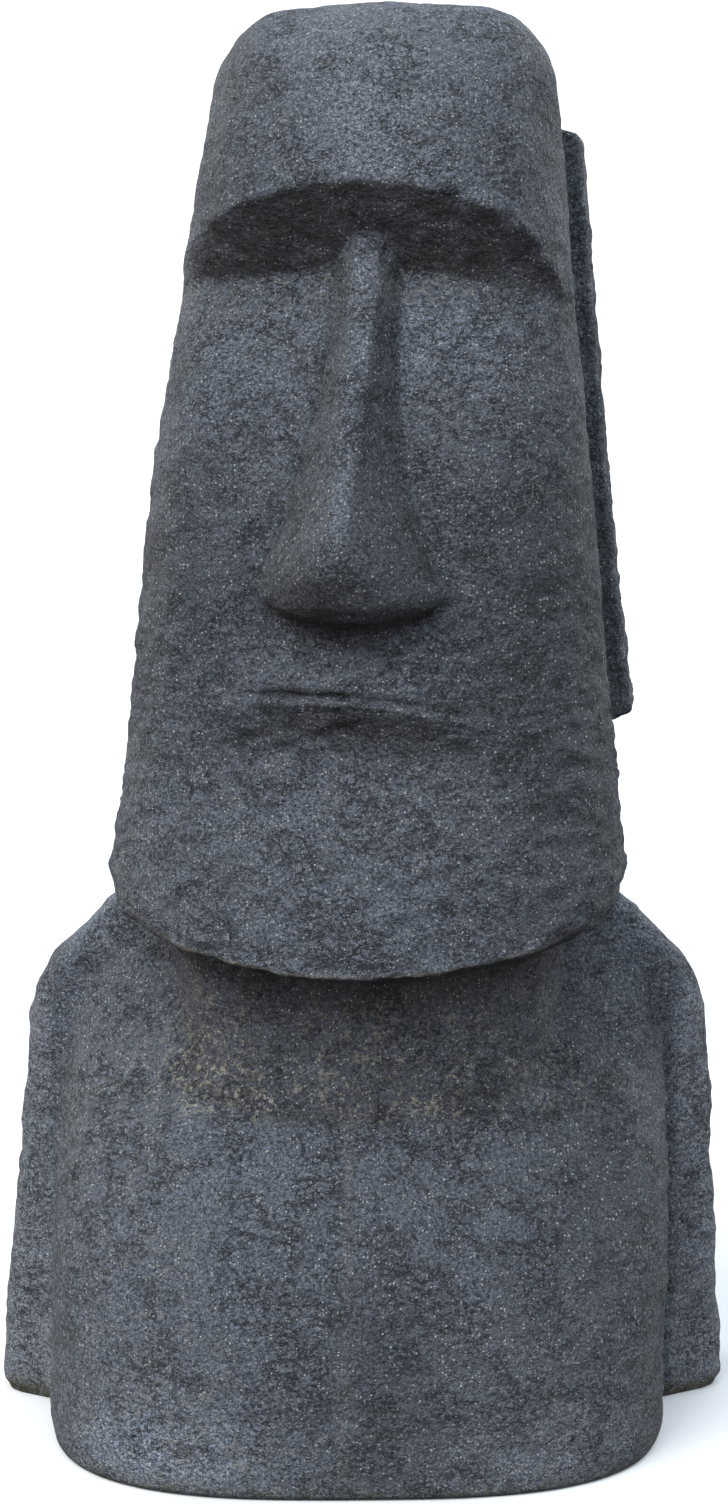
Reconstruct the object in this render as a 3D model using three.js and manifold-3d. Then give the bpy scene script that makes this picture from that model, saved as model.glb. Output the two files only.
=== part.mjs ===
// Garden moai: a stylised stone head on a short bust, cast in one piece.
// Millimetres, +Z up. The face looks towards -Y, the figure's width runs along X.
// The origin is the middle of the flat underside, so the casting stands on z = 0.
import * as THREE from "three";
import { mergeVertices } from "three/addons/utils/BufferGeometryUtils.js";
import Module from "manifold-3d";

// ---------------------------------------------------------------- overall sizes
const HEIGHT = 1000; // underside to crown
const HEAD_TURN = THREE.MathUtils.degToRad(8); // the head is turned a little towards -X
const CROWN_DOME_X = 0.0007; // fall of the crown per mm^2 across
const CROWN_DOME_Y = 0.0009; // and front to back

// Head: [height, value] stations, all in mm.
const HEAD_LEAN = [[300, 5], [411, 6.6], [512, 7.6], [626, 7], [693, 8.4], [760, 10.6], [826, 13.2], [904, 17.2], [1000, 20.5]]; // sideways lean of the head's middle line
const HEAD_HALF_WIDTH = [[340, 182], [411, 181], [426, 178.8], [454, 174.5], [512, 168.6], [558, 163.6], [626, 157.6], [693, 150], [760, 141], [826, 131.8], [904, 120.8], [1000, 108]];
const CHEEK_FRONT = [[340, -150.5], [380, -148], [430, -141], [534, -127], [600, -119], [700, -106], [811, -93], [866, -86], [1000, -74]]; // y of the flat of the face
const HEAD_BACK = [[340, 104], [430, 112], [600, 120], [800, 114], [1000, 96]]; // y of the back of the head
const FACE_CURVE = 0.00148; // how the face falls back towards its sides, per mm^2
const BACK_CURVE = 0.0011;
const SIDE_TAPER = 7.3e-4; // the head narrows behind this line
const SIDE_TAPER_FROM = -45;
const FACE_CORNER = 38; // rounding of the upright corners of the face
const REAR_CORNER = 58;
const CROWN_CORNER = 46;

// Brow: a heavy shelf whose underside slopes back to the cheeks.
const BROW_TOP = 876;
const BROW_MIDDLE = -5;
const CREASE_TOP = 819.5;
const BROW_PROJECTION = [[0, 47], [60, 46], [95, 41], [115, 33], [132, 20], [150, 6]]; // by distance from the middle

// Nose
const NOSE_PROJECTION = [[565, 0], [582, 3], [587, 14], [591, 34], [597, 44], [608, 55], [620, 61], [630, 61.5], [650, 57], [709, 38], [791, 24.5], [835, 20], [850, 19], [1000, 18]];
const NOSE_MIDDLE = [[560, 2], [605, 5], [622, 0], [709, 1], [791, 4], [850, 2], [1000, 2]];
const NOSE_RIDGE_HALF = [[560, 14], [600, 15], [622, 9], [646, 8], [709, 8], [791, 9.5], [850, 9.5], [1000, 10]];
const NOSE_FOOT_HALF = [[560, 58], [590, 62], [605, 62.5], [620, 58], [637, 52], [676, 38], [727, 28], [791, 24], [850, 24], [1000, 24]];
const NOSE_WING_RISE = 11; // the wings end this much higher than the tip

// Mouth: a pout with one long thin line across its crest.
const MOUTH_HEIGHT = 538;
const MOUTH_SLANT = -0.06;
const MOUTH_ARCH = 0.00105;
const MOUTH_HALF = 92;
const POUT = 13;

// Chin and jaw
const CHIN_HEIGHT = 355; // lower edge of the chin at its middle
const CHIN_RISE = 1.12e-3; // rise of that edge towards the jaw corners, per mm^2

// Ears: long slabs that stand off the sides of the head.
const EAR_OUTER = [[500, 181.8], [520, 179.8], [626, 167.4], [760, 150.6], [904, 131.4], [1000, 119]];
const EAR_BOTTOM = 509;
const EAR_TOP = 919;
const EAR_FRONT = 28;
const EAR_BACK = 88;
const EAR_ROOT = 70; // how far into the head the slab reaches
const EAR_EDGE = 4;

// Bust
const BUST_HALF_WIDTH = [[0, 220], [12, 222.5], [60, 222], [280, 216.5], [400, 205]];
const BUST_MIDDLE = [[0, -4], [60, -4], [280, 1], [400, 1]];
const BUST_FRONT = 175;
const BUST_BACK = 158;
const BUST_CENTRE_Y = 10;
const BUST_SQUARENESS = 2.9;
const BASE_EDGE = 5; // worn edge round the underside
const SHOULDER_X = 180; // the shoulder line passes through this point
const SHOULDER_Z = 386;
const NECK_HALF_WIDTH = 143;
const NECK_FRONT = 115;
const NECK_BACK = 98;
const NECK_WAIST = [[200, 6], [234, 1], [290, -7], [340, -4], [365, 2], [420, 6]]; // the neck is hollowed at mid height

// Arms: slabs at the sides of the bust, without hands.
const ARM_OUTER = [[0, 267.5], [12, 268.5], [120, 261.5], [245, 251], [330, 244.5], [400, 241]];
const ARM_MIDDLE = [[0, 0], [120, 1.5], [280, 4], [400, 4]];
const ARM_ROOT = 150;
const ARM_FRONT = 19;
const ARM_BACK = 132;
const ARM_SLANT = 0.55; // the front of each arm falls back towards its outer edge
const ARM_EDGE = 8;
const ARM_FOOT = 2.5;

// ---------------------------------------------------------------- small functions
const clamp = THREE.MathUtils.clamp;
const step = (a, b, x) => {
  const t = clamp((x - a) / (b - a), 0, 1);
  return t * t * (3 - 2 * t);
};

// Smooth, monotone curve through [position, value] stations.
function along(x, stations) {
  const n = stations.length;
  x = clamp(x, stations[0][0], stations[n - 1][0]);
  let i = 0;
  while (i < n - 2 && x >= stations[i + 1][0]) i++;
  const chord = (k) => (stations[k + 1][1] - stations[k][1]) / (stations[k + 1][0] - stations[k][0]);
  const tangent = (k) => {
    if (k === 0) return chord(0);
    if (k === n - 1) return chord(n - 2);
    const a = chord(k - 1), b = chord(k);
    return a * b <= 0 ? 0 : (2 * a * b) / (a + b);
  };
  const h = stations[i + 1][0] - stations[i][0];
  const t = (x - stations[i][0]) / h;
  return (1 + 2 * t) * (1 - t) ** 2 * stations[i][1] + t * (1 - t) ** 2 * h * tangent(i)
    + t * t * (3 - 2 * t) * stations[i + 1][1] + t * t * (t - 1) * h * tangent(i + 1);
}

// The functions below are negative inside the stone. "both" keeps what two of them
// share, "either" joins them, each with a rounded edge of the given size.
const both = (a, b, r) => Math.min(-r, Math.max(a, b)) + Math.hypot(Math.max(a + r, 0), Math.max(b + r, 0));
const either = (a, b, r) => Math.max(r, Math.min(a, b)) - Math.hypot(Math.max(r - a, 0), Math.max(r - b, 0));
const softMax = (a, b, k) => {
  const h = Math.max(k - Math.abs(a - b), 0) / k;
  return Math.max(a, b) + h * h * k * 0.25;
};
const softMin = (a, b, k) => -softMax(-a, -b, k);

// ---------------------------------------------------------------- face relief
const chinEdge = (u) => CHIN_HEIGHT + CHIN_RISE * u * u;
const creaseHeight = (u) => CREASE_TOP - 0.001 * (u + 15) ** 2;
function browHeight(u) {
  const s = Math.abs(u - BROW_MIDDLE);
  return BROW_TOP - 0.0023 * s * s - 0.022 * Math.max(s - 100, 0) ** 2;
}

function browAndNose(u, z) {
  const crease = creaseHeight(u);
  const edge = Math.max(browHeight(u), crease + 9);
  const shelf = along(Math.abs(u + 3), BROW_PROJECTION) * (1 - step(122, 150, Math.abs(u)));
  const under = shelf * clamp((z - crease) / (edge - crease), 0, 1);
  const forehead = shelf - Math.max(z - edge, 0) * 0.115 * clamp(shelf / 47, 0, 1);
  const brow = z > crease - 6 ? softMin(under, forehead, 2.2) : 0;

  const s = Math.abs(u - along(z, NOSE_MIDDLE));
  const tipLine = z - NOSE_WING_RISE * (s / 62) ** 2 * (1 - step(605, 660, z));
  const ridge = along(z, NOSE_RIDGE_HALF), foot = along(z, NOSE_FOOT_HALF);
  const q = clamp((foot - s) / (foot - ridge), 0, 1);
  const full = step(700, 610, z); // flat flanks above, full wings below
  const nose = along(tipLine, NOSE_PROJECTION) * (q * (1 - full) + full * (1 - (1 - q) ** 1.9));
  return softMax(brow, nose, 7);
}

function mouth(u, z) {
  const across = u + 5;
  const dz = z - (MOUTH_HEIGHT + MOUTH_SLANT * across - MOUTH_ARCH * across * across);
  const ends = clamp(1 - (Math.abs(across) / MOUTH_HALF) ** 3, 0, 1);
  const sides = clamp(1 - (across / 118) ** 2, 0, 1);
  const bump = (centre, width) => Math.exp(-((dz - centre) ** 2) / (2 * width * width));
  const pout = dz > 0 ? POUT * bump(0, 20) : POUT * bump(0, 14) - 5.5 * bump(-38, 17);
  return pout * sides - 4.5 * bump(3.2, 2) * ends + 1.6 * bump(-1.2, 1.7) * ends;
}

// ---------------------------------------------------------------- the forms
function headLocal(x, y, z) {
  const across = x - along(z, HEAD_LEAN);
  return [across * Math.cos(HEAD_TURN) - y * Math.sin(HEAD_TURN), across * Math.sin(HEAD_TURN) + y * Math.cos(HEAD_TURN)];
}

function head(x, y, z) {
  const [u, w] = headLocal(x, y, z);
  const side = Math.abs(u) - (along(z, HEAD_HALF_WIDTH) - SIDE_TAPER * Math.max(w - SIDE_TAPER_FROM, 0) ** 2);
  const face = along(z, CHEEK_FRONT) + FACE_CURVE * u * u - browAndNose(u, z) - mouth(u, z);
  const back = w - (along(z, HEAD_BACK) - BACK_CURVE * u * u);
  const crown = z - (HEIGHT - CROWN_DOME_X * u * u - CROWN_DOME_Y * (w - 12) ** 2);
  const corner = step(110, 176, Math.abs(u));
  const under = chinEdge(u) + 4 * step(120, 178, Math.abs(u)) + 0.3 * clamp(w + 60, 0, 90) - 0.2 * clamp(w - face, 0, 70) - z;
  let f = both(both(side, face - w, FACE_CORNER), back, REAR_CORNER);
  f = both(f, crown, CROWN_CORNER);
  return both(f, under, 3 + 19 * corner);
}

function roundedPlan(x, y, halfWidth, front, back, power) {
  const depth = y < 0 ? front : back;
  const r = Math.max((Math.abs(x) / halfWidth) ** power + (Math.abs(y) / depth) ** power, 1e-9) ** (1 / power);
  return ((r - 1) * Math.hypot(x, y)) / Math.max(r, 1e-6);
}

const chestSlope = (x, y, z) => -0.811 * (y + 103 - 0.001 * x * x) + 0.583 * (z - 221);
const backSlope = (x, y, z) => 0.74 * (y - 56 + 0.0009 * x * x) + 0.672 * (z - 410);
const shoulderSlope = (x, z) => 0.735 * (Math.abs(x) - SHOULDER_X) + 0.678 * (z - SHOULDER_Z);

function bust(x, y, z) {
  let f = roundedPlan(x - along(z, BUST_MIDDLE), y - BUST_CENTRE_Y, along(z, BUST_HALF_WIDTH), BUST_FRONT, BUST_BACK, BUST_SQUARENESS);
  f = both(f, chestSlope(x, y, z), 42);
  f = both(f, backSlope(x, y, z), 16);
  return both(f, shoulderSlope(x, z), 12);
}

function neck(x, y, z) {
  const w = along(z, NECK_WAIST);
  return Math.max(roundedPlan(x - 3, y - 18, NECK_HALF_WIDTH + w, NECK_FRONT + w, NECK_BACK + 0.3 * w, 2.8), z - 470);
}

function figure(x, y, z) {
  const body = either(bust(x, y, z), neck(x, y, z), 10);
  return either(body, head(x, y, z), 6 + 16 * step(-70, 30, y));
}

// ---------------------------------------------------------------- skin of the head and bust
// The skin starts as a cylinder. Each of its points is sent out from a core line
// until it leaves the stone. [angle, share of the columns] and [from, to, rows]
// put the points where the carving is.
const COLUMN_SHARE = [[0, 1.25], [20, 1.1], [46, 0.85], [60, 0.6], [80, 0.45], [115, 0.42], [130, 0.28], [180, 0.25]];
const COLUMNS = 60;
const ROW_BANDS = [
  [BASE_EDGE, 225, 6], [225, 342, 8], [342, 350, 2], [350, 358, 3], [358, 368, 2], [368, 500, 6], [500, 548, 7],
  [548, 582, 3], [582, 602, 5], [602, 628, 3], [628, 812, 6], [812, 884, 8], [884, 940, 2],
];
const DOME_FROM = 940;
const DOME_ROWS = 7;
const CORE_Y = [[0, 35], [300, 38], [420, 45], [905, 45], [945, 8], [1000, 8]];

const columnAngles = (() => {
  const fine = 3600, sum = [0];
  for (let i = 0; i < fine; i++) sum.push(sum[i] + along(Math.abs(-180 + ((i + 0.5) * 360) / fine), COLUMN_SHARE));
  const angles = [];
  for (let j = 0, i = 0; j < COLUMNS; j++) {
    const want = (sum[fine] * j) / COLUMNS;
    while (sum[i + 1] < want) i++;
    angles.push(THREE.MathUtils.degToRad(-180 + ((i + (want - sum[i]) / (sum[i + 1] - sum[i])) * 360) / fine));
  }
  return angles;
})();

const rowHeights = [0];
for (const [from, to, rows] of ROW_BANDS)
  for (let k = 0; k < rows; k++) rowHeights.push(from + ((to - from) * k) / rows);
const DOME_START = rowHeights.length;
const ROWS = DOME_START + DOME_ROWS;

function lastInside(origin, direction, reach) {
  const at = (t) => figure(origin.x + direction.x * t, origin.y + direction.y * t, origin.z + direction.z * t);
  let t = reach;
  while (t > 0 && at(t) > 0) t -= 4;
  let inside = t, outside = t + 4;
  for (let k = 0; k < 22; k++) {
    const middle = (inside + outside) / 2;
    if (at(middle) < 0) inside = middle;
    else outside = middle;
  }
  return inside;
}

function skinPoint(column, row) {
  const theta = columnAngles[((column % COLUMNS) + COLUMNS) % COLUMNS];
  const origin = new THREE.Vector3(), direction = new THREE.Vector3();
  if (row >= DOME_START) {
    // the crown: rays fan upwards from one point
    const rise = HEIGHT - DOME_FROM, run = 100, s = ((row - DOME_START) / DOME_ROWS) * (rise + run);
    const tilt = Math.atan2(Math.min(s, rise), s < rise ? run : run - (s - rise));
    origin.set(along(DOME_FROM, HEAD_LEAN), along(DOME_FROM, CORE_Y), DOME_FROM);
    direction.set(Math.cos(tilt) * Math.sin(theta - HEAD_TURN), -Math.cos(tilt) * Math.cos(theta - HEAD_TURN), Math.sin(tilt));
  } else {
    // rows near the chin follow its lower edge
    const level = rowHeights[Math.max(row, 1)];
    const cross = Math.cos(theta) > 0 ? clamp((Math.sin(theta) * 170) / Math.max(Math.cos(theta), 1e-3), -180, 180) : 180;
    const lift = CHIN_RISE * cross * cross + 24 * step(50, 90, Math.abs(THREE.MathUtils.radToDeg(theta)));
    const share = level < CHIN_HEIGHT ? step(235, CHIN_HEIGHT, level) : 1 - step(CHIN_HEIGHT, 520, level);
    const z = level + lift * share;
    const heading = theta - HEAD_TURN * step(300, 430, level);
    origin.set(along(z, HEAD_LEAN) * step(300, 460, z), along(z, CORE_Y), z);
    direction.set(Math.sin(heading), -Math.cos(heading), 0);
  }
  const reach = lastInside(origin, direction, 330);
  const p = origin.clone().addScaledVector(direction, reach);
  if (row === 0) {
    // underside: the same outline, drawn in by the worn edge
    const flat = new THREE.Vector2(p.x, p.y - BUST_CENTRE_Y);
    flat.setLength(flat.length() - BASE_EDGE);
    p.set(flat.x, flat.y + BUST_CENTRE_Y, 0);
  }
  return p;
}

function skin() {
  const g = new THREE.CylinderGeometry(1, 1, ROWS, COLUMNS, ROWS);
  const pos = g.getAttribute("position");
  const crown = new THREE.Vector3(along(DOME_FROM, HEAD_LEAN), along(DOME_FROM, CORE_Y), DOME_FROM);
  crown.z += lastInside(crown.clone(), new THREE.Vector3(0, 0, 1), 200);
  const cache = new Map();
  for (let i = 0; i < pos.count; i++) {
    const row = Math.round(pos.getY(i) + ROWS / 2);
    let p;
    if (Math.hypot(pos.getX(i), pos.getZ(i)) < 0.5) p = row === 0 ? new THREE.Vector3(0, BUST_CENTRE_Y, 0) : crown;
    else {
      const column = Math.round((Math.atan2(pos.getX(i), pos.getZ(i)) / (2 * Math.PI) + 1) * COLUMNS) % COLUMNS;
      const key = column * 1000 + Math.min(row, ROWS - 1);
      if (!cache.has(key)) cache.set(key, skinPoint(column, Math.min(row, ROWS - 1)));
      p = cache.get(key);
      if (row === ROWS) p = p.clone().lerp(crown, 0.5);
    }
    pos.setXYZ(i, p.x, p.y, p.z);
  }
  return g;
}

// ---------------------------------------------------------------- ears and arms
// Both are slabs: an outline in the upright plane across the figure, given
// thickness from back to front with a softened edge.
function slab(outline, front, back, edge, steps) {
  const g = new THREE.ExtrudeGeometry(outline, {
    depth: back - front - 2 * edge, steps, bevelEnabled: true, bevelThickness: edge, bevelSize: edge, bevelOffset: -edge, bevelSegments: 2, curveSegments: 6,
  });
  // outline x, y and depth become across, up and back to front
  return g.applyMatrix4(new THREE.Matrix4().makeBasis(new THREE.Vector3(1, 0, 0), new THREE.Vector3(0, 0, 1), new THREE.Vector3(0, -1, 0)).setPosition(0, back - edge, 0));
}

function reshape(g, move) {
  const pos = g.getAttribute("position"), p = new THREE.Vector3();
  for (let i = 0; i < pos.count; i++) {
    move(p.fromBufferAttribute(pos, i));
    pos.setXYZ(i, p.x, p.y, p.z);
  }
  return g;
}

function ear(sign) {
  const points = [];
  const pieces = 8;
  for (let k = 0; k <= pieces; k++) {
    const z = EAR_BOTTOM + 6 + ((EAR_TOP - EAR_BOTTOM - 6) * k) / pieces;
    points.push([along(z, EAR_OUTER), z]);
  }
  points.push([along(EAR_TOP, EAR_OUTER) - EAR_ROOT, EAR_TOP]);
  points.push([along(EAR_BOTTOM, EAR_OUTER) - EAR_ROOT, EAR_BOTTOM - 20]);
  const outline = new THREE.Shape(points.map(([u, z]) => new THREE.Vector2(sign * u, z)));
  return reshape(slab(outline, EAR_FRONT, EAR_BACK, EAR_EDGE, 1), (p) => {
    const u = p.x, w = p.y;
    p.x = along(p.z, HEAD_LEAN) + u * Math.cos(HEAD_TURN) + w * Math.sin(HEAD_TURN);
    p.y = -u * Math.sin(HEAD_TURN) + w * Math.cos(HEAD_TURN);
  });
}

function arm(sign) {
  const outline = new THREE.Shape();
  const top = (x) => SHOULDER_Z - (0.735 / 0.678) * (x - SHOULDER_X);
  const corner = along(320, ARM_OUTER);
  outline.moveTo(sign * ARM_ROOT, ARM_FOOT);
  outline.lineTo(sign * (along(0, ARM_OUTER) - 10), ARM_FOOT);
  outline.lineTo(sign * (along(14, ARM_OUTER) - 1), 11);
  for (const z of [60, 120, 180, 235]) outline.lineTo(sign * along(z, ARM_OUTER), z);
  outline.quadraticCurveTo(sign * corner, top(corner), sign * (corner - 30), top(corner - 30) - 1);
  outline.lineTo(sign * SHOULDER_X, top(SHOULDER_X) - 2);
  outline.lineTo(sign * ARM_ROOT, top(SHOULDER_X) - 12);
  outline.closePath();
  return reshape(slab(outline, ARM_FRONT, ARM_BACK, ARM_EDGE, 6), (p) => {
    const x = p.x;
    const chest = 221 + (14 + 0.811 * (p.y + 103 - 0.001 * x * x)) / 0.583;
    const rear = 410 + (2 - 0.74 * (p.y - 56 + 0.0009 * x * x)) / 0.672;
    p.z = Math.min(p.z, softMin(chest, rear, 24));
    p.y += ARM_SLANT * Math.max(Math.abs(x) - 226, 0) * clamp((ARM_BACK - p.y) / (ARM_BACK - ARM_FRONT), 0, 1);
    p.x += along(p.z, ARM_MIDDLE);
  });
}

// ---------------------------------------------------------------- one casting
const wasm = await Module();
wasm.setup();

function solid(geometry) {
  const g = geometry.clone();
  g.deleteAttribute("normal");
  g.deleteAttribute("uv");
  const merged = mergeVertices(g, 1e-4);
  const made = new wasm.Manifold(new wasm.Mesh({ numProp: 3, vertProperties: merged.attributes.position.array, triVerts: new Uint32Array(merged.index.array) }));
  return made;
}

let casting = solid(skin());
for (const sign of [1, -1]) casting = casting.add(solid(ear(sign))).add(solid(arm(sign)));

const made = casting.getMesh();
let geometry = new THREE.BufferGeometry();
const xyz = new Float32Array((made.vertProperties.length / made.numProp) * 3);
for (let i = 0; i < xyz.length / 3; i++)
  for (let k = 0; k < 3; k++) xyz[3 * i + k] = made.vertProperties[i * made.numProp + k];
geometry.setAttribute("position", new THREE.BufferAttribute(xyz, 3));
geometry.setIndex(new THREE.BufferAttribute(new Uint32Array(made.triVerts), 1));
geometry.computeBoundingBox();
const middle = geometry.boundingBox.getCenter(new THREE.Vector3());
geometry.translate(-middle.x, -middle.y, 0); // the origin sits under the middle of the casting
geometry.computeVertexNormals();

const stone = new THREE.MeshStandardMaterial({ name: "cast_stone", color: 0x4a4f57, roughness: 0.85, metalness: 0 });
const statue = new THREE.Mesh(geometry, stone);
statue.name = "moai_statue";

const moai = new THREE.Group();
moai.add(statue);
export default moai;
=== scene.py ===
from math import atan2, cos, pi, radians, sin

import bpy
import numpy as np
from mathutils import Matrix, Vector


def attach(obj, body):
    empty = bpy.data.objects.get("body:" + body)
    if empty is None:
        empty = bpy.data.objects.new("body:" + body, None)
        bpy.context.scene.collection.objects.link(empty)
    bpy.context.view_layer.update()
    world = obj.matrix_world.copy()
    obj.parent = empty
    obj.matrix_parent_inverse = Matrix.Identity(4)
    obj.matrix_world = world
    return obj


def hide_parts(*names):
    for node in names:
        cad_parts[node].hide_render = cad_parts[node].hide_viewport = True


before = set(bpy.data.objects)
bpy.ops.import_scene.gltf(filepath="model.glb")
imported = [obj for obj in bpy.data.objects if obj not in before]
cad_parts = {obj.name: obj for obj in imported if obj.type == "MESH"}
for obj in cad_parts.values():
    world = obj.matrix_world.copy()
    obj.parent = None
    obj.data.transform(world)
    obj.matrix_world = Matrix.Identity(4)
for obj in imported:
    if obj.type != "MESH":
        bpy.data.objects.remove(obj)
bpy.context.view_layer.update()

# =====================================================================
# The statue's shape, in millimetres: front -Y, up +Z. The functions are
# negative inside the stone.
# =====================================================================


def rmax(a, b, r):
    return np.minimum(-r, np.maximum(a, b)) + np.hypot(np.maximum(a + r, 0), np.maximum(b + r, 0))


def rmin(a, b, r):
    return np.maximum(r, np.minimum(a, b)) - np.hypot(np.maximum(r - a, 0), np.maximum(r - b, 0))


def smax(a, b, k):
    h = np.maximum(k - np.abs(a - b), 0) / k
    return np.maximum(a, b) + h * h * k * 0.25


def smin(a, b, k):
    return -smax(-a, -b, k)


def step(a, b, x):
    t = np.clip((x - a) / (b - a), 0, 1)
    return t * t * (3 - 2 * t)


def bell(x, centre, width):
    return np.exp(-((x - centre) ** 2) / (2 * width * width))


def along(x, table):
    X = np.array([p[0] for p in table], float)
    V = np.array([p[1] for p in table], float)
    x = np.clip(x, X[0], X[-1])
    i = np.clip(np.searchsorted(X, x, side="right") - 1, 0, len(X) - 2)
    d = np.diff(V) / np.diff(X)
    m = np.empty(len(X))
    m[0], m[-1] = d[0], d[-1]
    for k in range(1, len(X) - 1):
        m[k] = 0 if d[k - 1] * d[k] <= 0 else 2 * d[k - 1] * d[k] / (d[k - 1] + d[k])
    h = X[i + 1] - X[i]
    t = (x - X[i]) / h
    return ((1 + 2 * t) * (1 - t) ** 2 * V[i] + t * (1 - t) ** 2 * h * m[i]
            + t * t * (3 - 2 * t) * V[i + 1] + t * t * (t - 1) * h * m[i + 1])


HEIGHT = 1000.0
TURN = radians(8.0)
LEAN = [(300, 5.0), (411, 6.6), (512, 7.6), (626, 7.0), (693, 8.4), (760, 10.6), (826, 13.2), (904, 17.2), (1000, 20.5)]
HEAD_HALF = [(340, 182), (384, 182), (411, 181), (426, 178.8), (454, 174.5), (512, 168.6), (558, 163.6), (626, 157.6), (693, 150), (760, 141), (826, 131.8), (904, 120.8), (1000, 108)]
CHEEK = [(340, -150), (380, -146.5), (430, -138.5), (470, -131), (520, -124.5), (570, -120.5), (620, -117), (680, -110.5), (740, -101), (800, -90), (840, -85), (866, -83), (1000, -72)]
BACK = [(340, 104), (430, 112), (600, 120), (800, 114), (1000, 96)]
BROW_P = [(0, 48), (40, 47.5), (70, 44), (95, 37), (115, 28), (132, 16), (150, 4)]
NOSE_P = [(565, 0), (582, 3), (587, 12), (591, 29), (597, 39), (610, 50), (624, 59), (634, 62), (642, 61), (662, 54), (709, 38), (791, 24.5), (835, 20), (850, 19), (1000, 18)]
NOSE_C = [(560, -2), (605, 0), (622, -3), (650, -3.5), (709, -2.5), (791, 1), (850, 0), (1000, 0)]
NOSE_R = [(560, 14), (600, 14), (622, 8), (636, 5), (660, 6), (709, 6.5), (791, 8), (850, 8.5), (1000, 10)]
NOSE_F = [(560, 62), (590, 67), (605, 67), (620, 62), (637, 54), (676, 40), (727, 29), (791, 23.5), (850, 23), (1000, 23)]
CHIN_Z = 355.0
EAR_O = [(500, 181.8), (520, 179.8), (626, 167.4), (760, 150.6), (904, 131.4), (1000, 119)]
EAR_Z0, EAR_Z1, EAR_W0, EAR_W1 = 509.0, 919.0, 28.0, 88.0
BUST_A = [(0, 218.5), (12, 221), (60, 221), (280, 216.5), (400, 205)]
BUST_X = [(0, -5.5), (60, -5), (280, 1), (400, 1)]
ARM_O = [(0, 267.5), (12, 268.5), (120, 261.5), (245, 251), (330, 244.5), (400, 241)]
ARM_X = [(0, 0), (120, 1.5), (280, 4), (400, 4)]
NECK_W = [(200, 6), (234, 1), (290, -7), (340, -4), (365, 2), (420, 6)]


def brow_edge(u):
    s = np.abs(u + 5)
    return 876 - 0.0023 * s * s - 0.022 * np.maximum(s - 100, 0) ** 2


def crease(u):
    return 819.5 - 0.0010 * (u + 15) ** 2


def face_plan(u):
    return 0.00110 * u * u + 3.0e-8 * u ** 4


def chin_edge(u):
    return CHIN_Z + 1.12e-3 * u * u - 2.9e-9 * u ** 4


def brow_and_nose(u, z):
    zc = crease(u)
    ze = np.maximum(brow_edge(u), zc + 9)
    shelf = along(np.abs(u + 3), BROW_P) * (1 - step(122, 150, np.abs(u)))
    under = shelf * np.clip((z - zc) / (ze - zc), 0, 1)
    over = shelf - np.maximum(z - ze, 0) * 0.115 * np.clip(shelf / 47, 0, 1)
    brow = np.where(z > zc - 6, smin(under, over, 2.2), 0)
    s = np.abs(u - along(z, NOSE_C))
    tip = z - 17 * (s / 66) ** 2 * (1 - step(610, 670, z))
    ridge, foot = along(z, NOSE_R), along(z, NOSE_F)
    q = np.clip((foot - s) / (foot - ridge), 0, 1)
    full = step(700, 610, z)
    nose = along(tip, NOSE_P) * (q * (1 - full) + full * (1 - (1 - q) ** 1.9))
    return smax(brow, nose, 5.0)


def mouth_line(u):
    return 538 - 0.06 * (u + 5) - 0.00105 * (u + 5) ** 2


def mouth(u, z):
    uc = u + 5
    dz = z - mouth_line(u)
    ends = np.clip(1 - (np.abs(uc) / 92) ** 3, 0, 1)
    sides = np.clip(1 - (uc / 118) ** 2, 0, 1)
    up = 13 * bell(np.maximum(dz, 0), 0, 20)
    down = 13 * bell(np.minimum(dz, 0), 0, 14) - 5.5 * bell(dz, -38, 17)
    return np.where(dz > 0, up, down) * sides - 4.5 * bell(dz, 3.2, 2.0) * ends + 1.6 * bell(dz, -1.2, 1.7) * ends


def head_local(x, y, z):
    hx = x - along(z, LEAN)
    return hx * cos(TURN) - y * sin(TURN), hx * sin(TURN) + y * cos(TURN)


def head(x, y, z):
    u, w = head_local(x, y, z)
    side = np.abs(u) - (along(z, HEAD_HALF) - 7.3e-4 * np.maximum(w + 45, 0) ** 2)
    face = along(z, CHEEK) + face_plan(u) - brow_and_nose(u, z) - mouth(u, z)
    f = rmax(rmax(side, face - w, 38), w - (along(z, BACK) - 0.0011 * u * u), 58)
    f = rmax(f, z - (HEIGHT - 0.0007 * u * u - 0.0009 * (w - 12) ** 2), 46)
    under = chin_edge(u) + 4 * step(120, 178, np.abs(u)) + 0.30 * np.clip(w + 60, 0, 90) - 0.20 * np.clip(w - face, 0, 70)
    return rmax(f, under - z, 3 + (19 + 7 * step(0, 100, u)) * step(110, 176, np.abs(u)))


def ears(x, y, z):
    u, w = head_local(x, y, z)
    o = along(z, EAR_O)
    f = rmax(np.abs(u) - o, np.abs(w - 58) - 30, 4)
    f = rmax(f, z - EAR_Z1, 6)
    f = rmax(f, EAR_Z0 + 0.4 * (np.abs(u) - o + 14) - z, 3)
    return np.maximum(f, 60 - np.abs(u))


def plan(x, y, a, front, back, n):
    q = (np.abs(x) / a) ** n + (np.abs(y) / np.where(y < 0, front, back)) ** n
    r = np.maximum(q, 1e-9) ** (1 / n)
    return (r - 1) * np.hypot(x, y) / np.maximum(r, 1e-6)


def chest_slope(x, y, z):
    return -0.811 * (y + 103 - 0.0010 * x * x) + 0.583 * (z - 221)


def back_slope(x, y, z):
    return 0.74 * (y - 56 + 0.0009 * x * x) + 0.672 * (z - 410)


def shoulder_slope(x, z):
    return 0.735 * (np.abs(x) - 180) + 0.678 * (z - 386)


def bust(x, y, z):
    f = plan(x - along(z, BUST_X), y - 10, along(z, BUST_A), 175, 158, 2.9)
    f = rmax(f, chest_slope(x, y, z), 42)
    f = rmax(f, back_slope(x, y, z), 16)
    return rmax(f, shoulder_slope(x, z), 12)


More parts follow.
